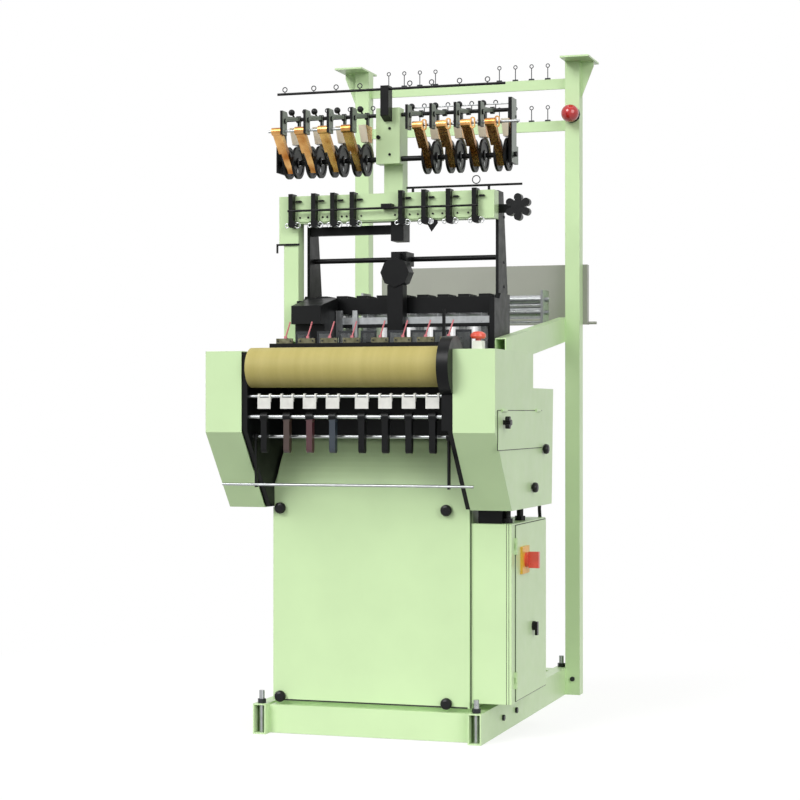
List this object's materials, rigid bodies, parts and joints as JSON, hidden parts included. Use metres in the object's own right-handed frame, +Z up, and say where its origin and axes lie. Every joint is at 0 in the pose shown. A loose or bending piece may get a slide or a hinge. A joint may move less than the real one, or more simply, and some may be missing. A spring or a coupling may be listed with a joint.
{
  "type": "needle loom",
  "caption": "Narrow fabric needle loom for tapes, with a rail base, a panelled body, a take up roller, weft feeders on a portal and a tall rear creel frame.",
  "frame": {"origin": "centre of the four floor anchor holes of the rails, on the floor", "axes": "+X to the right seen from the front, where the tapes come out, +Y to the rear creel frame, +Z up"},
  "size_m": [0.928, 1.396, 2.156],
  "materials": {
    "green_paint": "semi-gloss pale green enamel",
    "black_paint": "satin black enamel",
    "grey_paint": "matt grey enamel",
    "bright_steel": "ground steel",
    "dark_steel": "blackened steel",
    "roller_cover": "fine grip covering, olive gold",
    "yellow_zinc": "yellow passivated zinc",
    "white_plastic": "plain",
    "black_plastic": "satin",
    "red_plastic": "glossy",
    "yellow_plastic": "satin",
    "black_rubber": "matt",
    "motor_paint": "blue grey enamel"
  },
  "bodies": {
    "machine": {"left_rail": "green_paint", "right_rail": "green_paint", "cross_channels": "green_paint", "base_bolts": "dark_steel", "left_post": "green_paint", "right_post": "green_paint", "creel_bars": "green_paint", "yarn_eyelets": "dark_steel", "alarm_lamp": "red_plastic", "side_arms": "green_paint", "rear_board": "grey_paint", "roller_brackets": "bright_steel", "body_casing": "green_paint", "front_panel": "green_paint", "hand_knobs": "black_plastic", "apron": "green_paint", "left_cover": "green_paint", "right_cover": "green_paint", "left_side_plate": "black_paint", "right_side_plate": "black_paint", "cabinet": "green_paint", "cables": "black_rubber", "motor": "motor_paint", "drive_belt": "black_rubber", "guide_rods": "bright_steel", "tape_plates": "white_plastic", "head_table": "black_paint", "button_box": "white_plastic", "left_standard": "black_paint", "right_standard": "black_paint", "tie_bars": "black_paint", "centre_column": "black_paint", "top_beam": "green_paint", "thread_guides": "black_paint", "centre_post": "green_paint", "top_rod": "black_paint", "feeder_bar": "bright_steel"},
    "warp_roller_upper": {"warp_roller_upper": "bright_steel"},
    "warp_roller_lower": {"warp_roller_lower": "bright_steel"},
    "takeup_roller": {"takeup_roller": "roller_cover"},
    "finger_shaft": {"finger_shaft": "black_paint"},
    "stop_bar": {"stop_bar": "bright_steel"},
    "main_shaft": {"main_shaft": "bright_steel"},
    "motor_pulley": {"motor_pulley": "bright_steel"},
    "sley": {"sley": "black_paint", "reeds": "bright_steel"},
    "weft_needles": {"weft_needles": "bright_steel"},
    "latch_needles": {"latch_needles": "black_paint"},
    "heald_frames_odd": {"heald_frames_odd": "black_paint"},
    "heald_frames_even": {"heald_frames_even": "black_paint"},
    "feed_shaft": {"feed_shaft": "black_paint"},
    "feed_levers_left": {"feed_levers_left": "yellow_zinc"},
    "feed_levers_right": {"feed_levers_right": "yellow_zinc"},
    "star_wheel": {"star_wheel": "black_plastic"},
    "cover_hatch": {"cover_hatch": "green_paint"},
    "cabinet_door": {"cabinet_door": "green_paint", "switch_plate": "yellow_plastic"},
    "door_latch": {"door_latch": "black_plastic"},
    "switch_knob": {"switch_knob": "red_plastic"},
    "stop_button": {"stop_button": "red_plastic"}
  },
  "joints": [
    {"name": "warp_roller_upper_spin", "type": "hinge", "parent": "machine", "child": "warp_roller_upper", "pos_m": [0, 0.375, 1.333], "axis": [1, 0, 0], "continuous": true},
    {"name": "warp_roller_lower_spin", "type": "hinge", "parent": "machine", "child": "warp_roller_lower", "pos_m": [0, 0.375, 1.29], "axis": [1, 0, 0], "continuous": true},
    {"name": "takeup_roller_spin", "type": "hinge", "parent": "machine", "child": "takeup_roller", "pos_m": [0, -0.705, 1.087], "axis": [1, 0, 0], "continuous": true},
    {"name": "finger_shaft_turn", "type": "hinge", "parent": "machine", "child": "finger_shaft", "pos_m": [0, -0.717, 0.945], "axis": [1, 0, 0], "range_deg": [-15, 8]},
    {"name": "stop_bar_swing", "type": "hinge", "parent": "machine", "child": "stop_bar", "pos_m": [0, -0.685, 0.888], "axis": [1, 0, 0], "range_deg": [-10, 10]},
    {"name": "main_shaft_spin", "type": "hinge", "parent": "machine", "child": "main_shaft", "pos_m": [0, -0.15, 0.92], "axis": [1, 0, 0], "continuous": true},
    {"name": "motor_spin", "type": "hinge", "parent": "machine", "child": "motor_pulley", "pos_m": [0, -0.365, 0.74], "axis": [1, 0, 0], "continuous": true},
    {"name": "sley_swing", "type": "hinge", "parent": "machine", "child": "sley", "pos_m": [0, -0.33, 1.035], "axis": [1, 0, 0], "range_deg": [-12, 0]},
    {"name": "weft_needle_shift", "type": "slide", "parent": "machine", "child": "weft_needles", "axis": [1, 0, 0], "range_m": [0, 0.04]},
    {"name": "latch_needle_shift", "type": "slide", "parent": "machine", "child": "latch_needles", "axis": [0, 1, 0], "range_m": [0, 0.01]},
    {"name": "heald_frames_odd_lift", "type": "slide", "parent": "machine", "child": "heald_frames_odd", "axis": [0, 0, 1], "range_m": [-0.022, 0.022]},
    {"name": "heald_frames_even_lift", "type": "slide", "parent": "machine", "child": "heald_frames_even", "axis": [0, 0, 1], "range_m": [-0.022, 0.022]},
    {"name": "feed_shaft_spin", "type": "hinge", "parent": "machine", "child": "feed_shaft", "pos_m": [0, -0.285, 1.734], "axis": [1, 0, 0], "continuous": true},
    {"name": "feed_levers_left_drop", "type": "hinge", "parent": "machine", "child": "feed_levers_left", "pos_m": [0, -0.415, 1.815], "axis": [1, 0, 0], "range_deg": [-25, 0]},
    {"name": "feed_levers_right_drop", "type": "hinge", "parent": "machine", "child": "feed_levers_right", "pos_m": [0, -0.415, 1.815], "axis": [1, 0, 0], "range_deg": [-25, 0]},
    {"name": "star_wheel_turn", "type": "hinge", "parent": "machine", "child": "star_wheel", "pos_m": [0.38, -0.235, 1.58], "axis": [0, 1, 0], "continuous": true},
    {"name": "cover_hatch_open", "type": "hinge", "parent": "machine", "child": "cover_hatch", "pos_m": [0.445, -0.455, 0.962], "axis": [0, -1, 0], "range_deg": [0, 95]},
    {"name": "cabinet_door_open", "type": "hinge", "parent": "machine", "child": "cabinet_door", "pos_m": [0.4325, -0.47, 0.373], "axis": [0, 0, -1], "range_deg": [0, 110]},
    {"name": "door_latch_turn", "type": "hinge", "parent": "cabinet_door", "child": "door_latch", "pos_m": [0.431, -0.265, 0.317], "axis": [1, 0, 0], "range_deg": [0, 90]},
    {"name": "switch_turn", "type": "hinge", "parent": "cabinet_door", "child": "switch_knob", "pos_m": [0.438, -0.375, 0.523], "axis": [1, 0, 0], "range_deg": [0, 90]},
    {"name": "stop_button_press", "type": "slide", "parent": "machine", "child": "stop_button", "axis": [0, 0, -1], "range_m": [0, 0.005], "stiffness_N_per_m": 800, "springref_m": -0.002}
  ],
  "couplings": [
    {"joint": "motor_spin", "follows": "main_shaft_spin", "ratio": 2.3},
    {"joint": "weft_needle_shift", "follows": "sley_swing", "m_per_rad": -0.1909},
    {"joint": "latch_needle_shift", "follows": "sley_swing", "m_per_rad": -0.0477},
    {"joint": "heald_frames_even_lift", "follows": "heald_frames_odd_lift", "ratio": -1}
  ]
}
